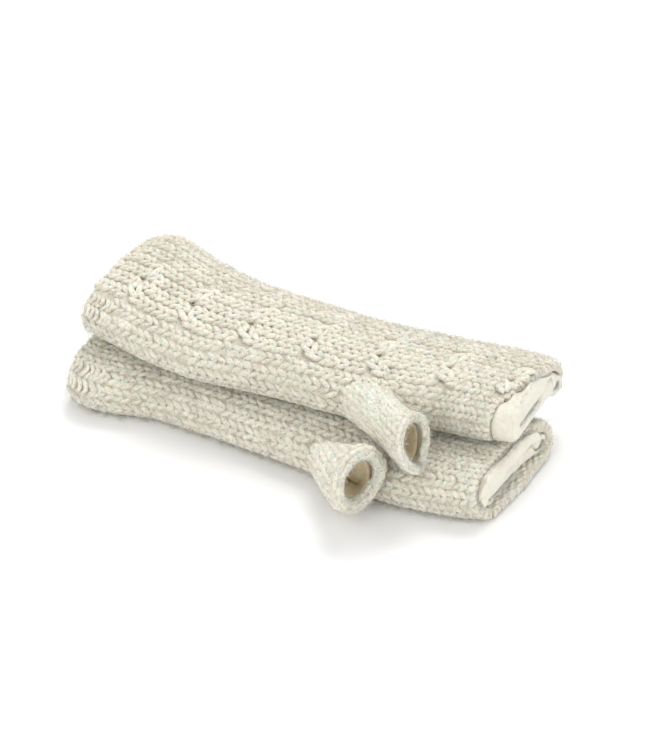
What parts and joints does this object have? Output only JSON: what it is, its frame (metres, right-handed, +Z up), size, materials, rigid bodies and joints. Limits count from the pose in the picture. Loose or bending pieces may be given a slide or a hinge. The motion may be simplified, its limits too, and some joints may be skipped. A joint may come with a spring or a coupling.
{
  "type": "pair of cable knit hand warmers",
  "caption": "Fingerless lined hand warmers of chunky wool with a horseshoe cable, lying flat one on the other, thumb tubes to one side.",
  "frame": {"origin": "on the surface they lie on, under the middle of the pair's bounding box", "axes": "+X from the wrist end to the hand end, +Y away from the thumb side, +Z up from the surface"},
  "size_m": [0.2494, 0.1669, 0.0558],
  "materials": {
    "wool": "matt, slightly fuzzy",
    "fleece": "soft matt pile"
  },
  "bodies": {
    "root": {"lower_knit_body": "wool", "lower_lining_body": "fleece", "lower_knit_thumb": "wool", "lower_lining_thumb": "fleece", "upper_knit_body": "wool", "upper_lining_body": "fleece", "upper_knit_thumb": "wool", "upper_lining_thumb": "fleece"}
  },
  "joints": []
}
